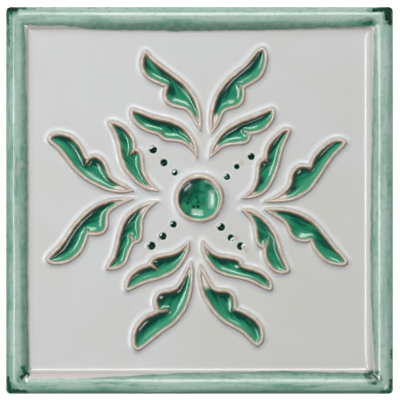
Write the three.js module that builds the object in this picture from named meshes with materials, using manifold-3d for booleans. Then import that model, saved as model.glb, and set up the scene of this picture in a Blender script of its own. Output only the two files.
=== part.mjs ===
// A decorative ceramic tile, fired in one piece: a square slab with a raised, mitred frame and, on its
// sunk field, a ring of ridged leaves around a dished boss, with small round pits between the leaves.
//
// Millimetres.  The tile lies on its flat back, at z = 0, with its glazed face up.  The origin is under
// the middle of the tile, +X is to the right and +Y to the top of the pattern.
import * as THREE from 'three';
import { mergeVertices } from 'three/addons/utils/BufferGeometryUtils.js';
import Module from 'manifold-3d';

const wasm = await Module();
wasm.setup();

// Slab
const TILE_SIDE = 150;
const TILE_HEIGHT = 12;
const FIELD_HEIGHT = 8;
const CORNER_RADIUS = 2;
const CORNER_STEPS = 4;
const BACK_CHAMFER = 0.5;

// Frame moulding, measured inward from the tile's sides and down from its crest
const FRAME_WIDTH = 8;
const FRAME_CREST_INSET = 3.8;
const FRAME_OUTER_DROP = 2.2;
const FRAME_INNER_DROP = 1.8;
const CROWN_STEPS = 5;
const COVE_WIDTH = 4;
const COVE_DEPTH = 1;
const COVE_WALL_RUN = 0.5;
const COVE_STEPS = 4;

// Leaf ridges and the pools inside them
const RIDGE_HEIGHT = 1.1;
const RIDGE_CREST_WIDTH = 0.9;
const RIDGE_FLANK_RUN = 0.7;
const POOL_DEPTH = 0.35;
const POOL_WALL_RUN = 0.5;
const FIELD_MARGIN = 3.8;
const POINTS_PER_STRETCH = 2;

// Boss in the middle of the field
const BOSS_CENTRE = [-0.1, 0.6];
const BOSS_RING_RADIUS = 8.4;
const BOSS_RING_HEIGHT = 1.2;
const BOSS_FLANK_RUN = 1;
const DISH_DEPTH = 1.6;
const BOSS_STEPS = 36;
const DISH_STEPS = 4;

// Round pits
const PIT_DEPTH = 1.2;
const PIT_SIDES = 14;
const PIT_STEPS = 3;

// How the solids are made: how far each one is sunk into the next, how far a cutter runs past a face, and
// how an outline is moved: the widest turn and longest reach of one corner point, the share of the
// distance that each point has to keep from the whole line, and the shortest step
const SUNK = 0.3;
const CLEAR = 1;
const WIDEST_TURN = 0.7;
const LONGEST_REACH = 2;
const KEPT_SHARE = 0.995;
const LEAST_STEP = 0.3;
const MERGE_DISTANCE = 1e-4;

// The leaves, drawn in millimetres around the middle of the field.  Each is one closed ridge line: from
// its base along the back to the tip, back along the tip lobe to the notch, and on to the base.
const DRAWN_REACH = 59.2;
const DRAWN_LEAVES = [
  { // top, left outer
    base: [0.5, 26.6],
    back: [[0.3, 33.5], [-1.6, 39.6], [-5.6, 45], [-11.7, 49.8], [-17.5, 54.2]],
    tip: [-21.1, 58.1],
    tipLobe: [[-22.5, 54.5], [-22.3, 51], [-20.6, 48], [-17.5, 46], [-14.6, 44.9]],
    notch: [-12.1, 44.1],
    baseLobe: [[-13.5, 42.3], [-13.5, 39.8], [-12.4, 37.7], [-10, 36.4], [-6, 35.7], [-3.8, 34], [-2, 31.2]],
  },
  { // top, left inner
    base: [-0.7, 16],
    back: [[-1.3, 20.5], [-2.8, 24], [-5.2, 27.4], [-8.5, 29.9], [-13, 31.4], [-18, 32.5], [-22, 34]],
    tip: [-26.3, 35.6],
    tipLobe: [[-26.5, 33.2], [-25, 30.3], [-22, 27.6], [-18.7, 26.4], [-16.3, 26.1]],
    notch: [-14.7, 26.4],
    baseLobe: [[-15.1, 24.7], [-13.2, 23.4], [-9.3, 23.1], [-6.4, 22.4], [-4, 20.9], [-2.2, 18.8]],
  },
  { // top, right outer
    base: [4.7, 25.8],
    back: [[4.4, 31], [5.1, 36.8], [7.6, 42.9], [12.6, 48.5], [16.8, 51.7], [20.2, 55.4], [22.6, 58.3]],
    tip: [24.7, 59.2],
    tipLobe: [[25.9, 57], [25.9, 53.5], [24.9, 50], [22.8, 47.2], [20, 45.4], [17.8, 44.5]],
    notch: [15.8, 44.4],
    baseLobe: [[17.2, 42.6], [17.2, 40], [16.5, 37.8], [14.5, 36.3], [11.5, 35.6], [9.3, 34.6], [8, 31.5],
      [6.3, 28.2]],
  },
  { // top, right inner
    base: [3.9, 16.3],
    back: [[5, 20.5], [7.3, 24.6], [10.6, 27.9], [15.3, 30.5], [20.3, 32.5], [25, 34.5]],
    tip: [28.6, 35.7],
    tipLobe: [[29, 33], [28.2, 31], [26.3, 28.4], [23.7, 26.7], [21, 26]],
    notch: [17.6, 26.7],
    baseLobe: [[19.5, 24.9], [18.9, 23.1], [16.9, 22.1], [13, 21.8], [10, 21.2], [7.5, 19.7], [5.6, 18]],
  },
  { // right, inner upper
    base: [15.7, 0.6],
    back: [[20, 1.1], [22.6, 1.8], [24.6, 2.9], [26.6, 4.9], [28.7, 8.4], [30.1, 12], [31.2, 16], [32.2, 20],
      [33.8, 24]],
    tip: [35.3, 27.3],
    tipLobe: [[33.3, 27.8], [31.3, 26.5], [29.2, 24.6], [27, 22], [25.8, 19.2]],
    notch: [25.5, 16.2],
    baseLobe: [[23.4, 15.4], [22.6, 13], [22.5, 9.5], [21.9, 7], [20.8, 4.7], [18.5, 2.2]],
  },
  { // right, outer upper
    base: [24.6, -0.5],
    back: [[28, -0.5], [33, -0.2], [36.5, 0.5], [39.7, 2], [43.5, 5], [47, 10], [50.9, 16], [54.2, 19.6]],
    tip: [56.9, 22.4],
    tipLobe: [[55, 23.6], [52, 23.5], [49, 21.8], [46.4, 19.5], [44.2, 16.6]],
    notch: [42.9, 13],
    baseLobe: [[41.2, 13.5], [39.2, 13.6], [37.3, 12.8], [35.9, 11], [35.3, 8.8], [35.1, 6.6], [33.6, 4.3],
      [31, 2.2], [28, 0.6]],
  },
  { // right, outer lower
    base: [24.9, -3.4],
    back: [[30, -3.2], [35, -3.8], [38.5, -4.9], [42, -6.6], [45.5, -9.5], [48.5, -13], [51.3, -16.7],
      [54.3, -20.2]],
    tip: [57.3, -23.8],
    tipLobe: [[56.2, -25], [53, -24.9], [50, -24.1], [47.5, -22.5], [45.4, -20], [44.2, -17.8]],
    notch: [43.2, -15.2],
    baseLobe: [[41.3, -15.9], [38.8, -15.7], [36.8, -14.9], [35.3, -13.1], [34.4, -10.5], [32.7, -8.2],
      [29.2, -6]],
  },
  { // right, inner lower
    base: [15.8, -3.6],
    back: [[19.5, -3.9], [22, -5], [25.4, -7.6], [28, -10.8], [29.7, -13.8], [30.8, -17], [31.8, -20.6],
      [33.4, -24.3]],
    tip: [34.9, -27.5],
    tipLobe: [[33, -28.2], [30.2, -28], [27.6, -26.2], [26, -23.6], [25.3, -20.8]],
    notch: [25.7, -17.6],
    baseLobe: [[24, -18.1], [22.5, -17], [21.9, -14.8], [21.7, -12], [21.1, -9.3], [19.8, -7], [17.9, -5]],
  },
  { // bottom, right inner
    base: [1, -15.4],
    back: [[1.3, -18.6], [2.3, -21.8], [3.8, -24.5], [5.7, -26.7], [8.3, -28.3], [11.5, -29.3], [15.2, -30],
      [18.8, -30.9], [22, -32.3], [25, -34]],
    tip: [27.8, -34.9],
    tipLobe: [[28, -33], [27.3, -31.1], [26.2, -29.6], [24.4, -28], [22, -26.8], [18.9, -26]],
    notch: [15.9, -25.5],
    baseLobe: [[16.4, -24], [14.9, -22.7], [11.9, -21.9], [8.5, -21.5], [6.2, -20.9], [4.2, -19.5],
      [2.5, -17.6]],
  },
  { // bottom, right outer
    base: [0.1, -24.2],
    back: [[-0.1, -28], [0.3, -32], [1.4, -36.4], [3.4, -40.4], [6.2, -44.1], [10, -47.5], [14.8, -49.9],
      [18, -52.3], [20.2, -54.8]],
    tip: [22.4, -56.5],
    tipLobe: [[24.2, -54.9], [24.6, -52.3], [24.2, -49.8], [23, -47.5], [20.8, -45.2], [17.8, -43.4]],
    notch: [14, -42],
    baseLobe: [[14, -39.4], [13.4, -37.1], [12.2, -35.5], [10.2, -34.8], [6.6, -34.6], [4.8, -33.3],
      [3.4, -30.9], [1.9, -28]],
  },
  { // bottom, left inner
    base: [-3.9, -15.3],
    back: [[-4.2, -18.6], [-5.5, -22], [-7.7, -25.3], [-10.4, -27.9], [-14, -29.8], [-18, -31], [-21.6, -32],
      [-25.1, -33.6]],
    tip: [-28.3, -35.1],
    tipLobe: [[-28.4, -32.5], [-27.6, -30.1], [-26, -28.1], [-23.8, -26.5], [-21.2, -25.4]],
    notch: [-18.8, -24.9],
    baseLobe: [[-19, -23.5], [-17.7, -22], [-15, -21.4], [-11.5, -20.9], [-9.2, -20], [-7, -18.6],
      [-5.3, -17.1]],
  },
  { // bottom, left outer
    base: [-3.3, -23.1],
    back: [[-2.8, -27], [-2.8, -31], [-3.3, -35.4], [-4.5, -39.7], [-6.7, -43.9], [-9.9, -47.7], [-14, -50.5],
      [-18, -53.6], [-21.5, -56.5]],
    tip: [-24.2, -58.2],
    tipLobe: [[-25.5, -56.4], [-25.7, -53.6], [-25.3, -51], [-24.3, -48.6], [-22.4, -46.1], [-19.6, -44.4]],
    notch: [-15.8, -43.1],
    baseLobe: [[-17.1, -41], [-17.2, -38.3], [-16.1, -36], [-13.5, -35], [-10.4, -34.5], [-8.7, -33.4],
      [-7, -30.9], [-5.2, -27.1]],
  },
  { // left, outer upper
    base: [-25.3, 3.6],
    back: [[-30, 3.3], [-34.5, 3.7], [-38.5, 5.3], [-42.3, 7.1], [-46.2, 9.9], [-49.2, 13], [-51.9, 16.5],
      [-54.8, 20.1]],
    tip: [-58.5, 23.2],
    tipLobe: [[-57.8, 25.2], [-55.5, 26.1], [-52.8, 25.9], [-50, 25], [-47.6, 23], [-45.6, 20.2],
      [-44.3, 17.4]],
    notch: [-43.5, 15],
    baseLobe: [[-42.2, 17], [-40.3, 17.4], [-38.5, 16.6], [-36.9, 14.9], [-35.7, 12], [-34.6, 9.4],
      [-32.3, 7.4], [-29, 5.6]],
  },
  { // left, inner upper
    base: [-15.4, 3.6],
    back: [[-19, 4], [-21.8, 5.1], [-24.7, 7.2], [-27.6, 10.4], [-29.6, 13.8], [-30.8, 18], [-31.5, 22],
      [-32.5, 25], [-34, 28]],
    tip: [-35.4, 30.4],
    tipLobe: [[-33.2, 30.4], [-30.6, 29.4], [-28.2, 27.6], [-26.4, 25.3], [-25.3, 22.6]],
    notch: [-25.2, 19.9],
    baseLobe: [[-23.3, 19.1], [-22.3, 17.2], [-22, 14], [-21.5, 10.8], [-20.2, 8], [-18.1, 5.6]],
  },
  { // left, outer lower
    base: [-25.2, 0.6],
    back: [[-30, 0.6], [-35, 0.1], [-39.5, -1.7], [-43.5, -4.2], [-46.5, -7.2], [-49.2, -10.4], [-51.6, -14],
      [-54, -17.4], [-57, -20.2]],
    tip: [-59.1, -22.8],
    tipLobe: [[-57.8, -24.4], [-54.8, -24.6], [-51.7, -24], [-48.8, -22.5], [-46.3, -20], [-44.7, -17.2]],
    notch: [-43.4, -13.3],
    baseLobe: [[-40.5, -13.3], [-38.2, -12.9], [-36.5, -11.7], [-35.7, -9.6], [-35.7, -6.6], [-35, -4.3],
      [-32.4, -2.4], [-29, -0.7]],
  },
  { // left, inner lower
    base: [-15.7, -0.4],
    back: [[-20.5, -1.4], [-24.3, -3], [-27, -4.9], [-29.2, -7.6], [-30.6, -11], [-31.6, -14.7],
      [-32.3, -18.4], [-33.4, -21.8], [-35, -24.4]],
    tip: [-36, -26.6],
    tipLobe: [[-33.3, -26.7], [-30.6, -25.8], [-28.6, -24.1], [-27.7, -21.5], [-26.8, -18.8]],
    notch: [-25.3, -16.5],
    baseLobe: [[-23.3, -15.9], [-22.4, -13.8], [-22.4, -10.4], [-22.1, -7.4], [-21, -4.8], [-18.9, -2.1]],
  },
];

// The pits, each as X, Y and diameter in the same drawing
const DRAWN_PITS = [
  [-18, 19.7, 3.1], [-13.8, 14.6, 2.8], [-9.6, 10.8, 2.4],
  [20.1, 17, 2.7], [14.5, 13.1, 2.1], [10.7, 9.1, 2.4],
  [-18.6, -17.6, 3.2], [-14.2, -13.9, 2.9], [-10.1, -9.3, 2.6],
  [16, -17.8, 3], [12.2, -14.5, 2.6], [8.4, -10.4, 3],
];

// The field ends where the cove does, and the drawing is fitted to it with a margin.
const TILE_HALF = TILE_SIDE / 2;
const FIELD_HALF = TILE_HALF - FRAME_WIDTH - COVE_WIDTH;
const DRAWING_SCALE = (FIELD_HALF - FIELD_MARGIN) / DRAWN_REACH;

// A three.js geometry as a closed solid.
function solid(geometry) {
  geometry.deleteAttribute('normal');
  geometry.deleteAttribute('uv');
  const merged = mergeVertices(geometry, MERGE_DISTANCE);
  const index = merged.index.array;
  const corners = [];
  for (let i = 0; i < index.length; i += 3) {
    const [a, b, c] = [index[i], index[i + 1], index[i + 2]];
    if (a !== b && b !== c && c !== a) corners.push(a, b, c);
  }
  return new wasm.Manifold(new wasm.Mesh({
    numProp: 3,
    vertProperties: new Float32Array(merged.attributes.position.array),
    triVerts: new Uint32Array(corners),
  }));
}

// A profile of [radius, height] points turned about the Z axis.
function turned(profile, sides, start = 0) {
  const points = profile.map(([radius, height]) => new THREE.Vector2(radius, height));
  return new THREE.LatheGeometry(points, sides, start).rotateX(Math.PI / 2);
}

// An outline pulled up from one height to another.  Its walls keep the outline at the middle heights and
// lean in by the run over the rise at both ends.
function leaning(outline, bottom, top, rise, run) {
  const geometry = new THREE.ExtrudeGeometry(new THREE.Shape(outline), {
    depth: top - bottom - 2 * rise,
    bevelThickness: rise,
    bevelSize: run,
    bevelOffset: -run,
    bevelSegments: 1,
  });
  return geometry.translate(0, 0, bottom + rise);
}

// Points of a quarter of an ellipse around a centre, from the end of its flat reach to the end of its
// rise, or the other way round.
function quarter([x, z], reach, rise, steps, fromRise = false) {
  return Array.from({ length: steps + 1 }, (_, step) => {
    const angle = ((fromRise ? steps - step : step) / steps) * (Math.PI / 2);
    return [x + reach * Math.cos(angle), z + rise * Math.sin(angle)];
  });
}

// The slab and its frame: a mitred moulding, trimmed to a square with round corners.
function slabAndFrame() {
  const frameInner = TILE_HALF - FRAME_WIDTH;
  const crest = TILE_HALF - FRAME_CREST_INSET;
  const coveTop = FIELD_HEIGHT + COVE_DEPTH;
  const coveSide = frameInner - COVE_WALL_RUN;
  const profile = [
    [0, 0],
    [TILE_HALF, 0],
    ...quarter([crest, TILE_HEIGHT - FRAME_OUTER_DROP], FRAME_CREST_INSET, FRAME_OUTER_DROP, CROWN_STEPS),
    ...quarter([crest, TILE_HEIGHT - FRAME_INNER_DROP], frameInner - crest, FRAME_INNER_DROP, CROWN_STEPS,
      true).slice(1),
    ...quarter([FIELD_HALF, coveTop], coveSide - FIELD_HALF, -COVE_DEPTH, COVE_STEPS),
    [0, FIELD_HEIGHT],
  ];
  const toCorner = Math.SQRT2;
  const moulding = solid(turned(profile.map(([reach, z]) => [reach * toCorner, z]), 4, Math.PI / 4));

  const outline = roundedSquare(TILE_HALF, CORNER_RADIUS, CORNER_STEPS);
  const trim = solid(leaning(outline, 0, TILE_HEIGHT + CLEAR, BACK_CHAMFER, BACK_CHAMFER));
  return moulding.intersect(trim);
}

function roundedSquare(half, radius, steps) {
  const points = [];
  for (let corner = 0; corner < 4; corner += 1) {
    const first = corner * (Math.PI / 2);
    const middle = new THREE.Vector2(half - radius, half - radius);
    middle.rotateAround(new THREE.Vector2(), first);
    for (let step = 0; step <= steps; step += 1) {
      const angle = first + (step / steps) * (Math.PI / 2);
      points.push(new THREE.Vector2(Math.cos(angle), Math.sin(angle)).multiplyScalar(radius).add(middle));
    }
  }
  return points;
}

// A leaf's ridge line at its size on the tile, counter-clockwise: three smooth curves that meet in points
// at the base, the tip and the notch.
function ridgeLine({ base, back, tip, tipLobe, notch, baseLobe }) {
  const line = [
    ...smooth([base, ...back, tip]),
    ...smooth([tip, ...tipLobe, notch]),
    ...smooth([notch, ...baseLobe, base]),
  ];
  return THREE.ShapeUtils.isClockWise(line) ? line.reverse() : line;
}

// A curve through drawn points, as points along it without the last.
function smooth(drawn) {
  const curve = new THREE.SplineCurve(drawn.map(([x, y]) => new THREE.Vector2(x, y)));
  const points = curve.getPoints((drawn.length - 1) * POINTS_PER_STRETCH).slice(0, -1);
  return points.map((point) => point.multiplyScalar(DRAWING_SCALE));
}

// A counter-clockwise line moved outward by a distance, or inward where it is negative.  A corner that
// opens widely becomes an arc, one that closes sharply is left out, and so is each point that would come
// too near another part of the line or the point before it.
function moved(line, distance) {
  const count = line.length;
  const points = [];
  line.forEach((point, i) => {
    const arriving = point.clone().sub(line[(i + count - 1) % count]);
    const leaving = line[(i + 1) % count].clone().sub(point);
    const turn = Math.atan2(arriving.cross(leaving), arriving.dot(leaving));
    const firstNormal = arriving.angle() - Math.PI / 2;
    const reach = 1 / Math.cos(turn / 2);
    if (turn * distance > 0 && Math.abs(turn) > WIDEST_TURN) {
      const steps = Math.ceil(Math.abs(turn) / WIDEST_TURN);
      for (let step = 0; step <= steps; step += 1) {
        points.push(stepped(point, firstNormal + (turn * step) / steps, distance));
      }
    } else if (reach < LONGEST_REACH) {
      points.push(stepped(point, firstNormal + turn / 2, distance * reach));
    }
  });
  const clear = points.filter((point) => distanceTo(line, point) > KEPT_SHARE * Math.abs(distance));
  return clear.filter((point, i) => i === 0 || point.distanceTo(clear[i - 1]) > LEAST_STEP);
}

function stepped(point, angle, distance) {
  return new THREE.Vector2(Math.cos(angle), Math.sin(angle)).multiplyScalar(distance).add(point);
}

function distanceTo(line, point) {
  const flat = new THREE.Vector3(point.x, point.y, 0);
  const nearest = new THREE.Vector3();
  return Math.min(...line.map((from, i) => {
    const to = line[(i + 1) % line.length];
    const side = new THREE.Line3(new THREE.Vector3(from.x, from.y, 0), new THREE.Vector3(to.x, to.y, 0));
    return side.closestPointToPoint(flat, true, nearest).distanceTo(flat);
  }));
}

// The raised body of a leaf, out to the foot of its ridge.
function leafBody(line) {
  const rise = RIDGE_HEIGHT + SUNK;
  const run = (RIDGE_FLANK_RUN * rise) / RIDGE_HEIGHT;
  const foot = moved(line, RIDGE_CREST_WIDTH / 2 + run);
  return solid(leaning(foot, FIELD_HEIGHT - SUNK - rise - CLEAR, FIELD_HEIGHT + RIDGE_HEIGHT, rise, run));
}

// The hollow inside a leaf's ridge, wider at the crest than at its floor.
function leafPool(line) {
  const depth = RIDGE_HEIGHT + POOL_DEPTH;
  const floor = moved(line, -RIDGE_CREST_WIDTH / 2 - POOL_WALL_RUN);
  const geometry = new THREE.ExtrudeGeometry(new THREE.Shape(floor), {
    depth: CLEAR,
    bevelThickness: depth,
    bevelSize: POOL_WALL_RUN,
    bevelSegments: 1,
  });
  return solid(geometry.translate(0, 0, FIELD_HEIGHT + RIDGE_HEIGHT));
}

function boss() {
  const crest = FIELD_HEIGHT + BOSS_RING_HEIGHT;
  const edge = BOSS_RING_RADIUS + RIDGE_CREST_WIDTH / 2;
  const slope = (BOSS_RING_HEIGHT + SUNK) / BOSS_RING_HEIGHT;
  const profile = [
    [0, FIELD_HEIGHT - SUNK],
    [edge + BOSS_FLANK_RUN * slope, FIELD_HEIGHT - SUNK],
    [edge, crest],
    [0, crest],
  ];
  return solid(turned(profile, BOSS_STEPS)).translate([BOSS_CENTRE[0], BOSS_CENTRE[1], 0]);
}

// A round bowl to be cut into a face at a height: its mouth has the radius and its middle the depth.
function bowl(radius, depth, height, sides, steps) {
  const profile = [];
  for (let step = 0; step <= steps; step += 1) {
    const turn = (step / steps) * (Math.PI / 2);
    profile.push([radius * Math.sin(turn), height - depth * Math.cos(turn)]);
  }
  profile.push([radius, height + CLEAR], [0, height + CLEAR]);
  return solid(turned(profile, sides));
}

function tile() {
  const lines = DRAWN_LEAVES.map(ridgeLine);
  const dishRadius = BOSS_RING_RADIUS - RIDGE_CREST_WIDTH / 2;
  const dish = bowl(dishRadius, DISH_DEPTH, FIELD_HEIGHT + BOSS_RING_HEIGHT, BOSS_STEPS, DISH_STEPS);
  const pits = DRAWN_PITS.map(([x, y, diameter]) => bowl(diameter / 2, PIT_DEPTH, FIELD_HEIGHT, PIT_SIDES,
    PIT_STEPS).translate([x * DRAWING_SCALE, y * DRAWING_SCALE, 0]));
  const raised = wasm.Manifold.union([slabAndFrame(), boss(), ...lines.map(leafBody)]);
  const hollows = [dish.translate([BOSS_CENTRE[0], BOSS_CENTRE[1], 0]), ...lines.map(leafPool), ...pits];
  return raised.subtract(wasm.Manifold.union(hollows));
}

function asMesh(body, name, look) {
  const mesh = body.getMesh();
  const geometry = new THREE.BufferGeometry();
  geometry.setAttribute('position', new THREE.BufferAttribute(mesh.vertProperties, 3));
  geometry.setIndex(new THREE.BufferAttribute(mesh.triVerts, 1));
  geometry.computeVertexNormals();
  const made = new THREE.Mesh(geometry, new THREE.MeshStandardMaterial(look));
  made.name = name;
  return made;
}

const group = new THREE.Group();
group.add(asMesh(tile(), 'tile', { color: 0xcdcfcb, roughness: 0.18, metalness: 0 }));

export default group;
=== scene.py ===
import math

import bmesh
import bpy
import numpy as np
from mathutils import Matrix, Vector, noise


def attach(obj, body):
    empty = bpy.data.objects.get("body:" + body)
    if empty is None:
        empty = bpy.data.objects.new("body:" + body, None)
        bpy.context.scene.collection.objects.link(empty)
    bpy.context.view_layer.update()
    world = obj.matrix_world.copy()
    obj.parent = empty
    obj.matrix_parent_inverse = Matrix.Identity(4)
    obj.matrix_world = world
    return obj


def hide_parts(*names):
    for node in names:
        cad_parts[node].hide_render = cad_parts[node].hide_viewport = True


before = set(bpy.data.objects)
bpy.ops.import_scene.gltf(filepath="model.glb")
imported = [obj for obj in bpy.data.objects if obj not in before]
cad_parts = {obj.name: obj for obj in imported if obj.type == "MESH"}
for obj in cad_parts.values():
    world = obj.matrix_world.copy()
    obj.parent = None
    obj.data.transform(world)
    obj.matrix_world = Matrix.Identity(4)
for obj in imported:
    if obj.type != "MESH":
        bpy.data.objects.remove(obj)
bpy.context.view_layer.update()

# A glazed relief tile, 150 mm a side, lying face up. Lengths are in millimetres until the mesh is finished.
MM = 0.001

# The slab and its frame moulding. Reach is the distance from the tile's middle to a side, square on.
TILE_REACH = 75.0
FIELD_REACH = 63.0
HIGHEST = 11.99
GRID_STEP = 1.2
CORNER_RADIUS = 1.7
# How far the mitre is softened at the frame's foot and on its crown, and where the foot passes into the crown.
FOOT_MITRE, CROWN_MITRE = 0.6, 3.2
MITRE_SPAN = (67.0, 71.5)
# The frame's section, by reach and height: the cove, the crown on each side and the rim.
COVE_SECTION = [
    (60.0, 8.0), (62.9, 8.0), (63.4, 8.03), (63.9, 8.1), (64.4, 8.22), (64.9, 8.38), (65.4, 8.59),
    (65.9, 8.87), (66.4, 9.27), (66.62, 9.72), (66.8, 10.22)]
# Lists by side run left, right, top, bottom. The bars' crowns were pressed a little differently.
CROWN_SECTIONS = [
    [(67.05, 10.55), (67.5, 10.8), (68.2, 11.13), (69.0, 11.48), (69.6, 11.72), (70.1, 11.86),
     (70.6, 11.95), (71.1, 11.985), (71.5, 11.97), (71.8, 11.93), (72.1, 11.865), (72.4, 11.77),
     (72.7, 11.64), (73.0, 11.48)],
    [(67.05, 10.5), (67.5, 10.72), (68.2, 11.02), (69.2, 11.45), (69.5, 11.56), (70.1, 11.755),
     (70.5, 11.86), (71.0, 11.95), (71.4, 11.98), (71.7, 11.97), (72.2, 11.89), (72.7, 11.74),
     (73.2, 11.5)],
    [(67.05, 10.55), (67.5, 10.8), (68.2, 11.13), (69.0, 11.48), (69.6, 11.71), (70.1, 11.85),
     (70.6, 11.95), (71.1, 11.985), (71.6, 11.95), (72.0, 11.885), (72.4, 11.795), (72.8, 11.69),
     (73.2, 11.57), (73.5, 11.44)],
    [(67.1, 10.33), (67.4, 10.5), (67.8, 10.7), (68.4, 10.97), (69.2, 11.34), (69.6, 11.49),
     (70.2, 11.685), (70.7, 11.82), (71.2, 11.915), (71.8, 11.98), (72.3, 11.95), (72.8, 11.81),
     (73.3, 11.57)]]
RIM_SECTION = [(73.8, 11.18), (74.3, 10.83), (74.7, 10.48), (74.93, 10.1), (75.0, 9.7)]
# How much further out the cove lies on each side, and the reach where that ends.
COVE_SHIFTS = (0.8, -0.3, 0.15, 1.0)
COVE_END = (65.8, 67.4)
# How softly a side's cove, section and wash pass into the next side's at a mitre.
COVE_BLEND, SECTION_BLEND, WASH_BLEND = 3.0, 1.5, 0.8
# The moulding's rings of mesh, closer together where its section turns: from and to a reach, and how many.
FRAME_RINGS = [
    (63.0, 66.0, 8), (66.0, 67.2, 7), (67.2, 70.0, 7), (70.0, 72.6, 8), (72.6, 74.0, 4), (74.0, 75.0, 6)]
# Where the mesh is finer and finest: depth inside a leaf, distance from the boss's middle, depth inside a pit.
FINER = [(-2.0, 99.0), (-1.0, 11.2), (-1.6, 99.0)]
FINEST = [(-0.8, 3.2), (7.4, 10.2), (-1.4, 1.4)]
# The sides down to the back, whose edge has a small chamfer: reach and height.
SIDE_STEPS = [(75.0, 8.9), (75.0, 7.6), (75.0, 6.0), (75.0, 4.2), (75.0, 2.4), (75.0, 0.5), (74.5, 0.0)]
# Unevenness by height, turns a millimetre and pattern: the crown's wandering line, and the whole face.
CROWN_WANDER = (0.22, 0.035, 12.4)
FACE_WAVES = [(0.035, 0.06, 3.1), (0.012, 0.25, 7.7)]

# The ridge round each leaf, by the distance inwards from the crest's outer edge, above the field.
CREST_HEIGHT = 9.1
RIDGE_CREST = 0.45
RIDGE_SECTION = [
    (-8.0, 0.0), (-2.3, 0.0), (-1.6, 0.03), (-1.0, 0.11), (-0.55, 0.33), (-0.2, 0.72), (0.1, 1.0),
    (0.45, 1.1), (0.8, 1.03), (1.05, 0.9), (1.35, 0.7), (1.6, 0.53), (2.0, 0.36), (2.5, 0.21), (3.0, 0.07),
    (3.6, -0.09), (4.2, -0.23), (5.0, -0.38), (9.0, -0.5)]
# Where a pool starts, how often its glaze is evened out, and its folds: height, turns along the leaf and
# about its base, and pattern.
POOL_START = 1.5
POOL_PASSES = 16
POOL_FOLDS = [(0.14, 0.06, 9.0, 7.3), (0.05, 0.05, 26.0, 3.1)]
# How much thinner a leaf's outline gets at its base, and over what length.
TIP_THINNING, TIP_LENGTH = 0.5, 4.5
# A crease's ridge: its depth on the line, how steeply it falls beside it, and how it fades along it.
CREASE_TOP, CREASE_FALL, CREASE_FADE = 0.45, 1.35, 0.8

# The boss, by the distance from its middle, above the field.
BOSS_CENTRE = (0.0, 0.75)
DISH_CENTRE = (-0.3, 0.45)
BOSS_SECTION = [
    (0.0, -0.55), (1.0, -0.523), (2.0, -0.442), (3.0, -0.307), (4.0, -0.118), (5.0, 0.125), (6.0, 0.42),
    (6.7, 0.65), (7.2, 0.85), (7.6, 1.02), (8.05, 1.14), (8.65, 1.19), (9.1, 1.12), (9.45, 0.93),
    (9.8, 0.6), (10.1, 0.32), (10.5, 0.12), (11.0, 0.03), (11.8, 0.0), (20.0, 0.0)]
BOSS_CREST = 8.65
# The ring's outer and inner sides, as steep as a leaf's ridge is where these are 1.
RING_OUTSIDE, RING_INSIDE = 0.66, 1.3

# The punched pits: place, width, and the side on which the glaze stands up in a lip.
PITS = [
    (-18.0, 19.7, 3.1, 130), (-13.8, 14.6, 2.8, 130), (-9.6, 10.8, 2.4, 135), (20.1, 17.0, 2.7, 130),
    (14.5, 13.1, 2.1, 110), (10.7, 9.1, 2.4, 130), (-18.6, -17.6, 3.2, 150), (-14.2, -13.9, 2.9, 135),
    (-10.1, -9.3, 2.6, 140), (16.0, -17.8, 3.0, -30), (12.2, -14.5, 2.6, -20), (8.4, -10.4, 3.0, 140)]
PIT_DEPTH = 1.5
PIT_EDGE = 0.2
PIT_CURVE = 1.3
LIP_HEIGHT, LIP_PLACE, LIP_WIDTH = 0.18, 0.5, 0.32
LIP_ALL_ROUND = 0.35

# Strokes are listed from (x, y) to (x, y) with their half width and strength.
# Beads on the pits' edges, raised a little in the shape, whose near-white colour is a painted glint:
BEADS_WITH_GLINTS = [
    (-19.2, 20.2, -18.4, 20.7, 0.36, 1.0), (-17.6, 20.8, -17.4, 20.8, 0.28, 0.7),
    (-10.2, 11.0, -9.7, 11.4, 0.36, 1.0), (9.7, 9.6, 10.2, 9.8, 0.36, 0.9),
    (10.4, 9.0, 10.5, 9.0, 0.22, 0.5), (-11.1, -9.1, -10.6, -8.7, 0.3, 0.9),
    (-15.1, -13.6, -14.8, -13.1, 0.34, 0.9), (-19.8, -17.0, -19.4, -16.6, 0.34, 0.8),
    (7.4, -9.9, 7.9, -9.5, 0.42, 1.0), (12.3, -15.2, 13.0, -14.7, 0.38, 0.9),
    (16.6, -18.0, 17.0, -17.3, 0.45, 1.0), (16.7, -18.8, 16.7, -18.7, 0.3, 0.6),
    (19.3, 17.8, 19.7, 18.0, 0.28, 0.6), (-14.5, 14.0, -14.5, 14.3, 0.25, 0.35)]
BEAD_HEIGHT, BEAD_FILL = 0.12, 0.85
# Pinholes in the dish:
PINHOLES = [
    (-3.2, 2.05, -3.2, 2.0, 0.5, 0.85), (-1.0, 1.2, -1.0, 1.1, 0.5, 0.8),
    (-0.4, -0.6, -0.45, -0.6, 0.5, 0.85), (-4.5, -0.95, -4.6, -1.0, 0.55, 0.85),
    (-2.3, -2.5, -2.4, -2.5, 0.55, 0.95), (-0.5, -2.5, -0.6, -2.45, 0.58, 0.95)]
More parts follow.
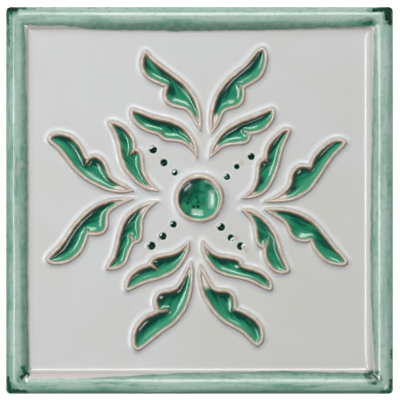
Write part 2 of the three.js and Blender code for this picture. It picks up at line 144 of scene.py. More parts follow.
# Dark stains, mostly at the frame's corners, the last of them wide and faint:
DARK_MARKS = [
    (-74.2, 74.6, -67.5, 74.8, 0.5, 0.8), (-73.6, 74.0, -71.3, 74.2, 0.9, 1.0),
    (-74.3, 73.5, -74.2, 68.5, 0.5, 0.7), (-73.6, 73.2, -73.0, 72.6, 0.6, 0.7),
    (67.6, 73.7, 71.0, 73.9, 0.6, 0.9), (70.5, 74.2, 74.2, 74.2, 0.7, 1.0),
    (72.3, 73.2, 72.7, 70.2, 0.6, 1.0), (73.6, 73.6, 73.7, 68.6, 0.7, 1.0),
    (64.2, 68.4, 66.3, 68.8, 0.7, 0.6), (-74.3, -69.0, -73.6, -73.4, 0.6, 0.9),
    (-73.4, -74.0, -67.5, -74.3, 0.6, 0.9), (-72.5, -73.3, -70.5, -73.6, 0.5, 0.6),
    (-68.2, -65.0, -67.4, -66.6, 0.7, 0.7), (-67.6, -66.8, -66.6, -67.3, 0.6, 0.95),
    (-68.4, -68.6, -67.2, -67.6, 0.8, 1.0), (-69.4, -69.6, -68.4, -67.0, 1.2, 0.35),
    (66.4, -68.2, 67.2, -68.8, 1.5, 0.8), (64.8, -67.9, 68.6, -67.5, 0.8, 0.7),
    (67.2, -69.0, 67.5, -70.4, 0.9, 0.75), (68.9, -66.6, 68.2, -68.4, 0.6, 0.55),
    (70.5, -74.2, 74.0, -74.0, 0.5, 0.7), (74.2, -72.8, 74.2, -69.8, 0.45, 0.8),
    (74.4, -58.0, 74.4, -61.0, 0.4, 0.6), (-73.9, 60.0, -73.9, 66.0, 0.5, 0.4),
    (-73.2, 73.2, -72.4, 72.4, 2.0, 0.32), (-74.0, 72.0, -74.0, 65.0, 1.1, 0.28),
    (-71.0, 74.2, -64.0, 74.4, 0.8, 0.28), (73.0, 73.0, 73.4, 69.5, 1.9, 0.32),
    (65.5, 73.6, 70.0, 73.9, 1.0, 0.28), (62.5, 68.7, 66.4, 69.4, 1.4, 0.34),
    (-73.6, -73.4, -72.4, -72.6, 1.7, 0.3), (-68.6, -67.6, -67.6, -65.6, 1.9, 0.34),
    (-69.0, -69.6, -68.6, -70.8, 1.2, 0.3), (66.2, -68.2, 68.2, -68.9, 2.1, 0.4),
    (73.4, -73.6, 74.0, -71.5, 1.1, 0.3)]
# Bare clay beside the pits:
CLAY_MARKS = [
    (16.0, 14.2, 16.3, 14.9, 0.9, 0.85), (-15.3, 16.2, -15.2, 16.1, 0.8, 0.65),
    (-7.9, 11.0, -7.8, 11.1, 0.7, 0.65), (-15.7, -15.3, -15.6, -15.2, 0.7, 0.65),
    (-20.0, -18.8, -20.0, -18.7, 0.7, 0.6), (14.0, -14.2, 14.3, -14.9, 0.8, 0.95),
    (17.9, -18.8, 18.5, -19.5, 0.9, 1.0)]
# Spots of white: painted highlights at the frame's corners, and a small white spot on the field:
WHITE_HIGHLIGHT_SPOTS = [
    (-67.5, 67.7, -65.6, 65.9, 0.3, 1.0), (-67.0, -69.3, -66.8, -70.0, 0.5, 1.0),
    (69.4, -68.4, 69.5, -69.0, 0.45, 1.0), (71.9, -72.8, 72.6, -72.0, 0.5, 0.8),
    (14.1, -25.6, 14.8, -25.8, 0.4, 0.8)]
# Pale arcs beside the ring, where the dish's green is thin and a painted reflection of the ring lies:
THIN_AND_REFLECTED_ARCS = [
    (2.4, 7.5, 4.7, 6.4, 0.5, 0.5), (4.7, 6.4, 6.2, 4.7, 0.55, 0.55), (6.2, 4.7, 6.8, 3.0, 0.4, 0.4)]
# Where the left bar is rubbed:
WORN_MARKS = [(-70.7, 10.6, -69.3, 14.0, 1.3, 0.8), (-69.9, 5.0, -69.6, 9.0, 0.7, 0.4)]

# The creases that run from the notches into the leaves: from (x, y) to (x, y).
CREASES = [
    (-25.3, 19.9, -26.9, 17.6), (-25.5, -16.0, -26.8, -13.2), (-43.1, -13.2, -43.6, -11.4),
    (-43.3, 16.1, -44.1, 14.1), (-18.9, -24.9, -16.4, -26.7), (-15.6, -43.0, -11.9, -42.6),
    (25.4, -18.0, 26.7, -15.1), (25.2, 16.2, 26.4, 15.1), (42.6, 13.3, 42.8, 11.9),
    (42.9, -15.6, 43.1, -14.3), (14.2, -41.9, 12.9, -42.8), (16.4, -24.8, 15.4, -25.3),
    (-15.9, 25.4, -15.2, 26.8), (17.0, 43.8, 15.3, 44.7), (19.6, 25.7, 17.0, 27.2),
    (-13.6, 43.9, -12.9, 44.6)]

# How far from its base each leaf's green begins, leaf by leaf, turning from the right side upwards.
GREEN_STARTS = [8.9, 5.7, 6.4, 7.1, 5.8, 6.0, 5.2, 7.3, 7.6, 8.1, 4.5, 5.9, 10.2, 5.7, 4.7, 4.8]
GREEN_FADE = 5.0

# Where the frame's green begins, by side: (place along the side, reach). The brush wandered.
PAINT_EDGES = [
    [(-75, 65.5), (-64, 66.1), (-56, 66.4), (-40, 66.6), (12, 66.7), (28, 66.9), (40, 67.1), (50, 67.4),
     (58, 67.2), (64, 67.6), (75, 68.2)],
    [(-75, 68.4), (-64, 67.8), (-52, 67.1), (-38, 66.3), (0, 66.4), (20, 66.7), (40, 67.0), (54, 67.5),
     (64, 67.7), (75, 68.0)],
    [(-75, 68.2), (-64, 67.7), (-56, 67.7), (-48, 67.2), (-42, 66.2), (-28, 66.0), (-8, 65.6),
     (8, 65.8), (28, 66.1), (44, 66.8), (60, 66.9), (64, 67.2), (75, 67.8)],
    [(-75, 69.1), (-64, 69.1), (-46, 69.0), (-36, 68.3), (-20, 67.6), (-8, 66.9), (4, 66.6), (20, 66.4),
     (28, 66.1), (44, 66.4), (60, 66.7), (75, 67.4)]]
PAINT_WANDER = [(0.3, 0.22, 1.7), (0.15, 0.8, 5.5)]
# How dark the frame's outer edge is on each side: wear, and on the bottom bar mostly painted shade.
EDGE_WEAR_AND_SHADE = (0.3, 0.2, 0.0, 0.9)
# How thin the wash is over the outer half of each side.
THIN_WASH = (0.15, 0.55, 0.45, 0.0)
# Painted shade at the foot of each bar, deepest under the left and top bars, and how pale each rim is, on the
# top bar mostly painted light.
FOOT_SHADE = (0.62, 0.0, 0.88, 0.0)
PALE_AND_LIT_RIM = (0.1, 0.15, 0.65, 0.0)

# Which way is up for the ridges' sides, on the boss and on the leaves, and how far into the dish and the pools
# that shows, from the ridges' inner line.
BOSS_UPWARDS, LEAF_UPWARDS = (-0.75, 0.66), (-0.35, 0.94)
DISH_FADE, POOL_FADE = 3.0, 2.9
INNER_LINE = 1.3

# The map that the brush strokes follow keeps the dish, each leaf and each bar of the frame apart.
DISH_MAP_REACH, DISH_MAP_PLACE = 12.0, 1500.0
LEAF_MAP_STEP, LEAF_MAP_TURN, LEAF_MAP_PLACE = 60.0, 20.0, 1000.0
BAR_MAP_STEP = 200.0


def section(knots, rounding):
    """A smooth curve through a moulding's points: a function of distance."""
    step = 0.02
    far = np.arange(knots[0][0], knots[-1][0] + step, step)
    rise = np.interp(far, *zip(*knots))
    width = max(1, int(round(rounding / step)))
    window = np.ones(width) / width
    for _ in range(2):
        padded = np.pad(rise, (width // 2, width - 1 - width // 2), mode="edge")
        rise = np.convolve(padded, window, mode="valid")
    return lambda distance: np.interp(distance, far, rise)


def eased(value, low, high):
    """0 below low, 1 above high, and a soft step between them."""
    t = np.clip((value - low) / (high - low), 0.0, 1.0)
    return t * t * (3.0 - 2.0 * t)


def between(value, a, b, c, d):
    """Rises softly from a to b, stays full to c, and falls to d."""
    return eased(value, a, b) * (1.0 - eased(value, c, d))


def waver(points, scale, seed):
    """Slow unevenness, about -1 to 1, at every point: the scale is its turns a millimetre."""
    return np.array([noise.noise(Vector((x * scale, y * scale, seed))) for x, y in points])


def soft_reach(points):
    """The distance from the middle to a side, with the mitres softened towards the crown."""
    a, b = np.abs(points[:, 0]), np.abs(points[:, 1])
    most = np.maximum(a, b)
    width = FOOT_MITRE + (CROWN_MITRE - FOOT_MITRE) * eased(most, *MITRE_SPAN)
    near = np.maximum(0.0, 1.0 - np.abs(a - b) / width)
    return np.minimum(most + near * near * width / 4.0, TILE_REACH)


def by_side(points, values, width):
    """A value that belongs to each side of the frame, passing smoothly from one to the next at the mitres."""
    x, y = points[:, 0], points[:, 1]
    most = np.maximum(np.abs(x), np.abs(y))
    total, weight = np.zeros(len(points)), np.full(len(points), 1e-9)
    for out, value in zip((-x, x, y, -y), values):
        share = np.exp((out - most) / width)
        total += share * value
        weight += share
    return total / weight


def evened(values, pairs, loose, passes):
    """The values with each loose vertex's drawn towards those of its neighbours."""
    a, b = pairs[:, 0], pairs[:, 1]
    count = np.bincount(a, minlength=len(values)) + np.bincount(b, minlength=len(values))
    for _ in range(passes):
        total = np.bincount(a, values[b], len(values)) + np.bincount(b, values[a], len(values))
        values = np.where(loose, 0.4 * values + 0.6 * total / np.maximum(count, 1), values)
    return values


def crest_outlines(tile):
    """The outer edge of each leaf's flat crest on the frame's tile."""
    shape = bmesh.new()
    shape.from_mesh(tile.data)
    bmesh.ops.scale(shape, vec=(1 / MM,) * 3, verts=shape.verts)
    bmesh.ops.remove_doubles(shape, verts=shape.verts, dist=1e-3)
    flat = {f for f in shape.faces
            if f.normal.z > 0.999 and abs(f.calc_center_median().z - CREST_HEIGHT) < 0.02}
    rim = {e for e in shape.edges if sum(f in flat for f in e.link_faces) == 1}
    beside = {}
    for edge in rim:
        for v in edge.verts:
            beside.setdefault(v, []).append(edge)
    outlines = []
    for start in sorted(rim, key=lambda e: e.index):
        if start not in rim:
            continue
        rim.discard(start)
        loop = [start.verts[0], start.verts[1]]
        while loop[-1] is not loop[0]:
            onward = [e for e in beside[loop[-1]] if e in rim]
            if not onward:
                break
            rim.discard(onward[0])
            loop.append(onward[0].other_vert(loop[-1]))
        outlines.append(np.array([v.co[:2] for v in loop[:-1]]))
    shape.free()
    outlines.sort(key=lambda o: -abs(enclosed(o)))
    outer = []
    for outline in outlines:
        if not any(inside(outline[:1], other)[0] for other in outer):
            outer.append(outline)
    turn = lambda o: math.atan2(o[:, 1].mean(), o[:, 0].mean()) % (2 * math.pi)
    return sorted(outer, key=turn)


def enclosed(outline):
    """The area inside an outline."""
    after = np.roll(outline, -1, axis=0)
    return 0.5 * float(np.sum(outline[:, 0] * after[:, 1] - after[:, 0] * outline[:, 1]))


def inside(points, outline):
    """Whether each point lies inside an outline."""
    found = np.zeros(len(points), bool)
    x, y = points[:, 0], points[:, 1]
    for (x0, y0), (x1, y1) in zip(outline, np.roll(outline, -1, axis=0)):
        crosses = (y0 > y) != (y1 > y)
        if y1 != y0:
            found ^= crosses & (x < (x1 - x0) * (y - y0) / (y1 - y0) + x0)
    return found


def drawn_smooth(outline, spacing=0.25, passes=24):
    """The outline at even steps with its small facets eased away and its points kept sharp."""
    after = np.roll(outline, -1, axis=0)
    keep = np.linalg.norm(after - outline, axis=1) > 0.02
    outline = outline[keep]
    before, after = np.roll(outline, 1, axis=0), np.roll(outline, -1, axis=0)
    a, b = outline - before, after - outline
    turn = np.abs(np.arctan2(a[:, 0] * b[:, 1] - a[:, 1] * b[:, 0], np.sum(a * b, axis=1)))
    points, pinned = [], []
    for here, there, sharp in zip(outline, after, turn > 0.75):
        count = max(1, int(round(np.linalg.norm(there - here) / spacing)))
        for i in range(count):
            points.append(here + (there - here) * i / count)
            pinned.append(sharp and i == 0)
    points, loose = np.array(points), ~np.array(pinned)
    for _ in range(passes):
        middle = (np.roll(points, 1, axis=0) + np.roll(points, -1, axis=0)) / 2
        points[loose] += 0.5 * (middle - points)[loose]
    return points


def depth_inside(points, outline):
    """The distance of each point from an outline, positive inside it, and the way outwards there."""
    start, along = outline, np.roll(outline, -1, axis=0) - outline
    length = np.maximum(np.sum(along * along, axis=1), 1e-12)
    nearest = np.zeros((len(points), 2))
    for i in range(0, len(points), 4000):
        part = points[i:i + 4000, None, :] - start[None]
        t = np.clip(np.sum(part * along[None], axis=2) / length[None], 0.0, 1.0)
        gap = part - t[:, :, None] * along[None]
        best = np.argmin(np.sum(gap * gap, axis=2), axis=1)
        nearest[i:i + 4000] = gap[np.arange(len(best)), best]
    far = np.linalg.norm(nearest, axis=1)
    within = inside(points, outline)
    outwards = nearest / np.maximum(far, 1e-6)[:, None] * np.where(within, -1.0, 1.0)[:, None]
    return np.where(within, far, -far), outwards


def from_line(points, start, end):
    """Each point's distance from a short line, and how far along the line it stands, 0 to 1."""
    start, end = np.array(start), np.array(end)
    along = end - start
    t = np.clip((points - start) @ along / (along @ along), 0.0, 1.0)
    return np.linalg.norm(points - start - t[:, None] * along, axis=1), t


class Drawing:
    """The lines of the sixteen leaves."""

    def __init__(self, tile):
        self.leaves = [drawn_smooth(o) for o in crest_outlines(tile)]
        self.bases = [o[np.argmin(np.linalg.norm(o, axis=1))] for o in self.leaves]

    def leaf_depth(self, points):
        """How far inside the nearest leaf each point lies, which leaf that is, and the way out of it."""
        deepest = np.full(len(points), -8.0)
        leaf = np.zeros(len(points), int)
        way = np.zeros((len(points), 2))
        for i, outline in enumerate(self.leaves):
            low, high = outline.min(axis=0) - 4.0, outline.max(axis=0) + 4.0
            near = np.all((points > low) & (points < high), axis=1)
            if near.any():
                depth, outwards = depth_inside(points[near], outline)
                better = depth > deepest[near]
                index = np.nonzero(near)[0][better]
                deepest[index] = depth[better]
                leaf[index] = i
                way[index] = outwards[better]
        return deepest, leaf, way

    def creased_depth(self, points):
        """Leaf depth, drawn to a fine point at each leaf's base, with the notches' creases as thin ridges."""
        depth, leaf, way = self.leaf_depth(points)
        for i, base in enumerate(self.bases):
            far = np.linalg.norm(points - base, axis=1)
            thinner = TIP_THINNING * (1.0 - eased(far, 0.0, TIP_LENGTH))
            depth = np.where((leaf == i) & (depth < 0.3), depth - thinner, depth)
        for x0, y0, x1, y1 in CREASES:
            gap, t = from_line(points, (x0, y0), (x1, y1))
            crease = CREASE_TOP + CREASE_FALL * gap + CREASE_FADE * t * t
            depth = np.where(depth > 0.4, np.minimum(depth, crease), depth)
        return depth, leaf, way

    def along_leaf(self, points, leaf):
        """Each point's distance from its leaf's base, and how far the point is turned about it."""
        far, turn = np.zeros(len(points)), np.zeros(len(points))
        for i, base in enumerate(self.bases):
            mine = leaf == i
            away = points[mine] - base * 0.9
            far[mine] = np.linalg.norm(away, axis=1)
            about = np.arctan2(away[:, 1], away[:, 0]) - math.atan2(base[1], base[0])
            turn[mine] = (about + math.pi) % (2 * math.pi) - math.pi
        return far, turn

    def green_share(self, points, leaf):
        """How far each point of a leaf lies past the start of its green glaze, about 0 to 1."""
        share = np.zeros(len(points))
        for i, base in enumerate(self.bases):
            mine = leaf == i
            far = np.linalg.norm(points[mine] - base, axis=1)
            share[mine] = np.clip((far - GREEN_STARTS[i]) / GREEN_FADE + 0.5, 0.0, 1.0)
        return share


def boss_distance(points):
    """The distance from the boss's middle, which shifts a little towards the dish's own middle."""
    outer = np.linalg.norm(points - BOSS_CENTRE, axis=1)
    inner = np.linalg.norm(points - DISH_CENTRE, axis=1)
    share = eased(outer, 6.8, 9.0)
    return inner * (1.0 - share) + outer * share


def pit_depth(points):
    """How far inside the nearest pit's edge each point lies, that pit's radius, and its lip."""
    deepest = np.full(len(points), -8.0)
    radius = np.ones(len(points))
    lip = np.zeros(len(points))
    for x, y, width, side in PITS:
        away = points - (x, y)
        far = np.linalg.norm(away, axis=1)
        depth = width / 2.0 - far
        nearer = depth > deepest
        deepest[nearer], radius[nearer] = depth[nearer], width / 2.0
        towards = np.cos(np.arctan2(away[:, 1], away[:, 0]) - math.radians(side))
        lip[nearer] = (LIP_ALL_ROUND + (1.0 - LIP_ALL_ROUND) * np.clip(towards, 0.0, 1.0))[nearer]
    return deepest, radius, lip


class Layout:
    """Where each point of the face lies: its reach, and its place among the leaves, the boss and the pits."""

    def __init__(self, points, drawing):
        self.points = points
        self.reach = soft_reach(points)
        self.edge, self.leaf, self.way = drawing.creased_depth(points)
        self.along, self.turn = drawing.along_leaf(points, self.leaf)
        self.far = boss_distance(points)
        self.pit, self.pit_radius, self.lip = pit_depth(points)


def face_heights(on):
    """The height of the glazed face at each point."""
    points, reach = on.points, on.reach
    cove = by_side(points, COVE_SHIFTS, COVE_BLEND) * (1.0 - eased(reach, *COVE_END))
    amount, scale, seed = CROWN_WANDER
    wander = amount * waver(points, scale, seed) * between(reach, 68.0, 70.0, 73.5, 74.8)
    across = reach - cove - wander
    rises = [section(COVE_SECTION + crown + RIM_SECTION, 0.3)(across) for crown in CROWN_SECTIONS]
    height = by_side(points, rises, SECTION_BLEND)
    for amount, scale, seed in FACE_WAVES:
        height += amount * waver(points, scale, seed)
    height += section(RIDGE_SECTION, 0.3)(on.edge) + pool_folds(on)
    height += section(BOSS_SECTION, 0.4)(on.far) + pit_heights(on)
    return np.minimum(height, HIGHEST)


def pool_folds(on):
    """The faint folds that run lengthwise in each leaf and meet at its base."""
    folds = np.zeros(len(on.points))
    for i in np.nonzero(on.edge > 1.2)[0]:
        for amount, along, about, seed in POOL_FOLDS:
            spot = Vector((on.along[i] * along, on.turn[i] * about, on.leaf[i] * seed))
            folds[i] += amount * noise.noise(spot)
    return folds * eased(on.edge, 1.3, 2.4)


def pit_heights(on):
    """How far the pits' bowls sink the face, and their lips and beads raise it."""
    inwards = np.clip((on.pit + PIT_EDGE) / (on.pit_radius + PIT_EDGE), 0.0, 1.0)
    bowl = PIT_DEPTH * (1.0 - (1.0 - inwards) ** PIT_CURVE)
    bead = marks(on.points, BEADS_WITH_GLINTS)
    lip = LIP_HEIGHT * on.lip * np.exp(-((on.pit + LIP_PLACE) / LIP_WIDTH) ** 2)
    return BEAD_HEIGHT * bead - bowl * (1.0 - BEAD_FILL * bead) + lip


def places(bm):
    """The mesh's points, seen from above."""
    return np.array([v.co[:2] for v in bm.verts])


def refine(bm, drawing, ranges):
    """Halves the cells that lie where a finer mesh is wanted."""
    bm.verts.index_update()
    points = places(bm)
    measures = drawing.leaf_depth(points)[0], boss_distance(points), pit_depth(points)[0]
    close = np.any([(low < value) & (value < high) for value, (low, high) in zip(measures, ranges)], axis=0)
    picked = set()
    for face in bm.faces:
        if len(face.verts) == 4 and any(close[v.index] for v in face.verts):
            picked.update(face.edges)
    bmesh.ops.subdivide_edges(bm, edges=list(picked), cuts=1, use_grid_fill=True)


def drawn_out(bm, rim):
    """A new ring of faces on the mesh's rim: its new points and the new rim."""
    made = bmesh.ops.extrude_edge_only(bm, edges=rim)["geom"]
    verts = [g for g in made if isinstance(g, bmesh.types.BMVert)]
    edges = [g for g in made if isinstance(g, bmesh.types.BMEdge)]
    return verts, edges


def face_grid(drawing):
    """The flat mesh of the face, finer along its drawn lines, and its rim."""
    bm = bmesh.new()
    cells = int(round(2 * FIELD_REACH / GRID_STEP))
    bmesh.ops.create_grid(bm, x_segments=cells, y_segments=cells, size=FIELD_REACH)
    rim = [e for e in bm.edges if e.is_boundary]
    was = FIELD_REACH
    for start, end, count in FRAME_RINGS:
        for i in range(1, count + 1):
            reach = start + (end - start) * i / count
            verts, rim = drawn_out(bm, rim)
            bmesh.ops.scale(bm, vec=(reach / was, reach / was, 1.0), verts=verts)
            was = reach
    refine(bm, drawing, FINER)
    refine(bm, drawing, FINEST)
    bm.verts.index_update()
    return bm, rim


def round_corners(points):
    """Draws the outermost rings round the tile's four corners."""
    rounded = points.copy()
    a = np.abs(points)
    most = a.max(axis=1)
    radius = np.clip(most - (TILE_REACH - CORNER_RADIUS), 0.0, None)
    least = a.min(axis=1)
    centre = TILE_REACH - CORNER_RADIUS
    near = (radius > 1e-6) & (least > centre)
    turn = (least[near] - centre) / radius[near] * (math.pi / 4)
    high = centre + radius[near] * np.cos(turn)
    low = centre + radius[near] * np.sin(turn)
    first = a[near, 0] >= a[near, 1]
    rounded[near, 0] = np.sign(points[near, 0]) * np.where(first, high, low)
    rounded[near, 1] = np.sign(points[near, 1]) * np.where(first, low, high)
    return rounded


def paint_depth(points, reach):
    """How far each point lies past the painted edge of the frame."""
    x, y = points[:, 0], points[:, 1]
    edges = [np.interp(along, *zip(*knots)) for along, knots in zip((y, y, x, x), PAINT_EDGES)]
    depth = reach - by_side(points, edges, WASH_BLEND)
    for amount, scale, seed in PAINT_WANDER:
        depth += amount * waver(points, scale, seed)
    return depth


def marks(points, listed):
    """How strongly the listed strokes show at each point, with their outlines a little uneven."""
    bent = points + 0.4 * np.stack([waver(points, 0.9, 2.2), waver(points, 0.9, 8.8)], axis=1)
    shown = np.zeros(len(points))
    for x0, y0, x1, y1, half, strength in listed:
        gap, _ = from_line(bent, (x0, y0), (x1, y1))
        shown = np.maximum(shown, strength * (1.0 - eased(gap / half, 0.3, 1.6)))
    return shown


def creases(points):
    """How close each point lies to a crease, from 0 to 1."""
    shown = np.zeros(len(points))
    for x0, y0, x1, y1 in CREASES:
        gap, _ = from_line(points, (x0, y0), (x1, y1))
        shown = np.maximum(shown, 1.0 - eased(gap, 0.1, 0.55))
    return shown


def raise_face(bm, on):
    """Lifts the flat mesh to the face's heights, rounds its corners and evens out the glaze in the leaves."""
    for v, (x, y), z in zip(bm.verts, round_corners(on.points), face_heights(on)):
        v.co = (x, y, z)
    pools = [v for v, depth in zip(bm.verts, on.edge) if depth > POOL_START]
    for _ in range(POOL_PASSES):
        bmesh.ops.smooth_vert(bm, verts=pools, factor=0.5, use_axis_z=True)


def upward_lean(bm, on, in_boss, inmost):
    """How far each ridge's side is its upper one, 1, or its lower one, -1, fading into the pools."""
    from_boss = (on.points - BOSS_CENTRE) / np.maximum(on.far, 1e-6)[:, None]
    lean = np.where(in_boss, from_boss @ BOSS_UPWARDS, on.way @ LEAF_UPWARDS)
    lean = lean * np.exp(-np.clip(inmost, 0.0, None) / np.where(in_boss, DISH_FADE, POOL_FADE))
    pairs = np.array([(e.verts[0].index, e.verts[1].index) for e in bm.edges])
    return evened(lean, pairs, inmost > 0.3, 12)


def glaze_facts(bm, on, drawing):
    """What the glaze needs to know at each point of the face."""
    points, reach = on.points, on.reach
    past = on.far - BOSS_CREST
    ring = RIDGE_CREST - np.where(past > 0.0, RING_OUTSIDE, RING_INSIDE) * past
    in_boss = ring > on.edge
    ridge = np.maximum(on.edge, ring)
    wash = lambda values: by_side(points, values, WASH_BLEND)
    return {
        "lean": upward_lean(bm, on, in_boss, ridge - INNER_LINE),
        "ridge": np.clip(ridge, -6.0, 9.0),
        "green": np.where(in_boss, 1.0, drawing.green_share(points, on.leaf)),
        "pit": np.clip(on.pit, -3.0, 3.0),
        "paint": np.clip(paint_depth(points, reach), -9.0, 9.0),
        "reach": reach,
        "wear_and_shade": wash(EDGE_WEAR_AND_SHADE),
        "thin_wash": wash(THIN_WASH) * between(reach, 69.0, 71.0, 72.2, 73.6),
        "pale_and_lit_rim": wash(PALE_AND_LIT_RIM) * eased(reach, 72.6, 73.6),
        "shade": wash(FOOT_SHADE) * (1.0 - eased(reach, 67.6, 70.0)),
        "crease": creases(points),
    }


def add_sides(bm, rim):
    """Draws the face's rim down the sides to the chamfer, and closes the back."""
    side = bm.verts.layers.float.new("side")
    was = TILE_REACH
    for reach, z in SIDE_STEPS:
        verts, rim = drawn_out(bm, rim)
        for v in verts:
            v.co = (v.co.x * reach / was, v.co.y * reach / was, z)
            v[side] = 1.0
        was = reach
    bmesh.ops.contextual_create(bm, geom=rim)


def brush_map(bm, on):
    """A map that runs along each bar of the frame and across it, and along each leaf from its base."""
    layer = bm.loops.layers.uv.new("brush")
    for face in bm.faces:
        corners = [v.index for v in face.verts]
        middle = face.calc_center_median()
        in_leaf = 0 <= min(corners) and max(corners) < len(on.edge) and on.edge[corners[0]] > 0.3
        in_dish = all(max(abs(v.co.x), abs(v.co.y)) < DISH_MAP_REACH for v in face.verts)
        upright = abs(middle.x) > abs(middle.y)
        if upright:
            bar = 1 if middle.x > 0 else 3
        else:
            bar = 0 if middle.y > 0 else 2
        for loop, i in zip(face.loops, corners):
            x, y, _ = loop.vert.co
            if in_dish:
                spot = (x * 3.0 + DISH_MAP_PLACE, y * 0.4)
            elif in_leaf:
                spot = (on.along[i] + LEAF_MAP_STEP * on.leaf[i], on.turn[i] * LEAF_MAP_TURN + LEAF_MAP_PLACE)
            elif upright:
                spot = (y + BAR_MAP_STEP * bar, abs(x))
            else:
                spot = (x + BAR_MAP_STEP * bar, abs(y))
            loop[layer].uv = (spot[0] * MM, spot[1] * MM)


def shade_smooth(bm):
    """Smooth shading, with the chamfer of the back left crisp."""
    for face in bm.faces:
        face.smooth = True
    for e in bm.edges:
        if len(e.link_faces) == 2 and e.calc_face_angle() > 0.7 and max(v.co.z for v in e.verts) < 0.002:
            e.smooth = False


def placed(bm, name):
    """The finished mesh as an object in the scene."""
    mesh = bpy.data.meshes.new(name)
    bm.to_mesh(mesh)
    bm.free()
    piece = bpy.data.objects.new(name, mesh)
    bpy.context.scene.collection.objects.link(piece)
    return piece


def glazed_tile(tile):
    """The whole tile: the relief face, the frame moulding, the sides and the back."""
    drawing = Drawing(tile)
    bm, rim = face_grid(drawing)
    on = Layout(places(bm), drawing)
    raise_face(bm, on)
    for name, values in glaze_facts(bm, on, drawing).items():
        layer = bm.verts.layers.float.new(name)
        for v, value in zip(bm.verts, values):
            v[layer] = float(value)
    add_sides(bm, rim)
    brush_map(bm, on)
    bmesh.ops.scale(bm, vec=(MM,) * 3, verts=bm.verts)
    bmesh.ops.recalc_face_normals(bm, faces=bm.faces)
    shade_smooth(bm)
    return placed(bm, "glazed_tile")


class Mix:
    """Short calls for the nodes of one material."""

    def __init__(self, name):
        self.material = bpy.data.materials.new(name)
        self.material.use_nodes = True
        self.tree = self.material.node_tree
        self.tree.nodes.clear()
        self.column = 0

    def node(self, kind, inputs=(), **settings):
        made = self.tree.nodes.new(kind)
        made.location = (self.column * 180 % 3600, -(self.column // 20) * 300)
        self.column += 1
        for key, value in settings.items():
            setattr(made, key, value)
        for key, value in dict(inputs).items():
            self.put(made, key, value)
        return made

    def put(self, node, key, value):
        if isinstance(value, bpy.types.NodeSocket):
            self.tree.links.new(value, node.inputs[key])
        else:
            node.inputs[key].default_value = value

    def read(self, name):
        return self.node("ShaderNodeAttribute", attribute_name=name).outputs["Fac"]

    def sum(self, operation, a, b=0.0, c=0.0):
        return self.node("ShaderNodeMath", {0: a, 1: b, 2: c}, operation=operation).outputs[0]

    def times(self, a, b):
        return self.sum("MULTIPLY", a, b)

    def scaled(self, value, factor, more):
        return self.sum("MULTIPLY_ADD", value, factor, more)

    def ramp(self, value, low, high, start=0.0, end=1.0):
        return self.node("ShaderNodeMapRange", {"Value": value, "From Min": low, "From Max": high,
                                                "To Min": start, "To Max": end},
                         interpolation_type="SMOOTHSTEP").outputs[0]

    def ramp_line(self, value, low, high):
        return self.node("ShaderNodeMapRange", {"Value": value, "From Min": low, "From Max": high}).outputs[0]

    def band(self, value, a, b, c, d):
        """Rises from a to b, stays full to c, and falls to d."""
        return self.times(self.ramp(value, a, b), self.ramp(value, c, d, 1.0, 0.0))

    def vector(self, operation, a, b, output=0):
        return self.node("ShaderNodeVectorMath", {0: a, 1: b}, operation=operation).outputs[output]

    def strokes(self, place, listed, soft=1.5):
        """How strongly the listed strokes show, each fading out at some half widths from its line."""
        shown = 0.0
        for x0, y0, x1, y1, half, strength in listed:
            run = Vector((x1 - x0, y1 - y0, 0.0))
            away = self.vector("SUBTRACT", place, (x0, y0, 0.0))
            share = self.vector("DOT_PRODUCT", away, tuple(run / run.length_squared), "Value")
            share = self.node("ShaderNodeClamp", {0: share}).outputs[0]
            nearest = self.node("ShaderNodeVectorMath", {0: tuple(run), "Scale": share}, operation="SCALE")
            gap = self.vector("DISTANCE", away, nearest.outputs[0], "Value")
            shown = self.sum("MAXIMUM", shown, self.ramp(gap, 0.4 * half, soft * half, strength, 0.0))
        return shown

    def blend(self, share, first, second, kind="MIX"):
        made = self.node("ShaderNodeMix", data_type="RGBA", blend_type=kind)
        self.put(made, 0, share)
        self.put(made, 6, tone(first) if isinstance(first, tuple) and len(first) == 3 else first)
        self.put(made, 7, tone(second) if isinstance(second, tuple) and len(second) == 3 else second)
        return made.outputs[2]

    def grain(self, vector, scale, detail=2.0, rough=0.5):
        return self.node("ShaderNodeTexNoise", {"Vector": vector, "Scale": scale, "Detail": detail,
                                                "Roughness": rough}).outputs["Fac"]


def tone(rgb):
    """A colour given as it looks on a screen, 0 to 255, in the renderer's own light values."""
    parts = [c / 255.0 for c in rgb]
    light = [c / 12.92 if c <= 0.04045 else ((c + 0.055) / 1.055) ** 2.4 for c in parts]
    return (*light, 1.0)


def fill_ramp(ramp, stops, low, high):
    """Sets a colour ramp's stops from (place, colour) pairs."""
    while len(ramp.elements) > 1:
        ramp.elements.remove(ramp.elements[-1])
    for i, (place, rgb) in enumerate(stops):
        at = (place - low) / (high - low)
        stop = ramp.elements[0] if i == 0 else ramp.elements.new(at)
        stop.position, stop.color = at, tone(rgb)


# The colours of the white glaze, the clay and the green glaze, as they look on a screen.
WHITE_GLAZE = (210, 211, 211)
WARM_GLAZE = (208, 208, 203)
# A white for thick glaze, also used for painted highlights.
WHITE_THICK_AND_HIGHLIGHT = (220, 222, 222)
CREAM = (222, 216, 208)
CLAY_PINK = (202, 183, 172)
CREAM_CLAY_AND_HIGHLIGHT = (214, 208, 197)
CLAY_BROWN = (120, 84, 50)
CLAY_BODY = (203, 168, 142)
# Green used as painted light on the pools' lower sides, and the next but two as painted shade on their upper
# sides.
GREEN_LIT = (66, 161, 122)
GREEN_MID = (38, 138, 101)
GREEN_DEEP = (9, 98, 73)
GREEN_IN_SHADE = (4, 62, 51)
GREEN_BLACK = (2, 30, 21)
GREEN_STAIN = (22, 104, 74)
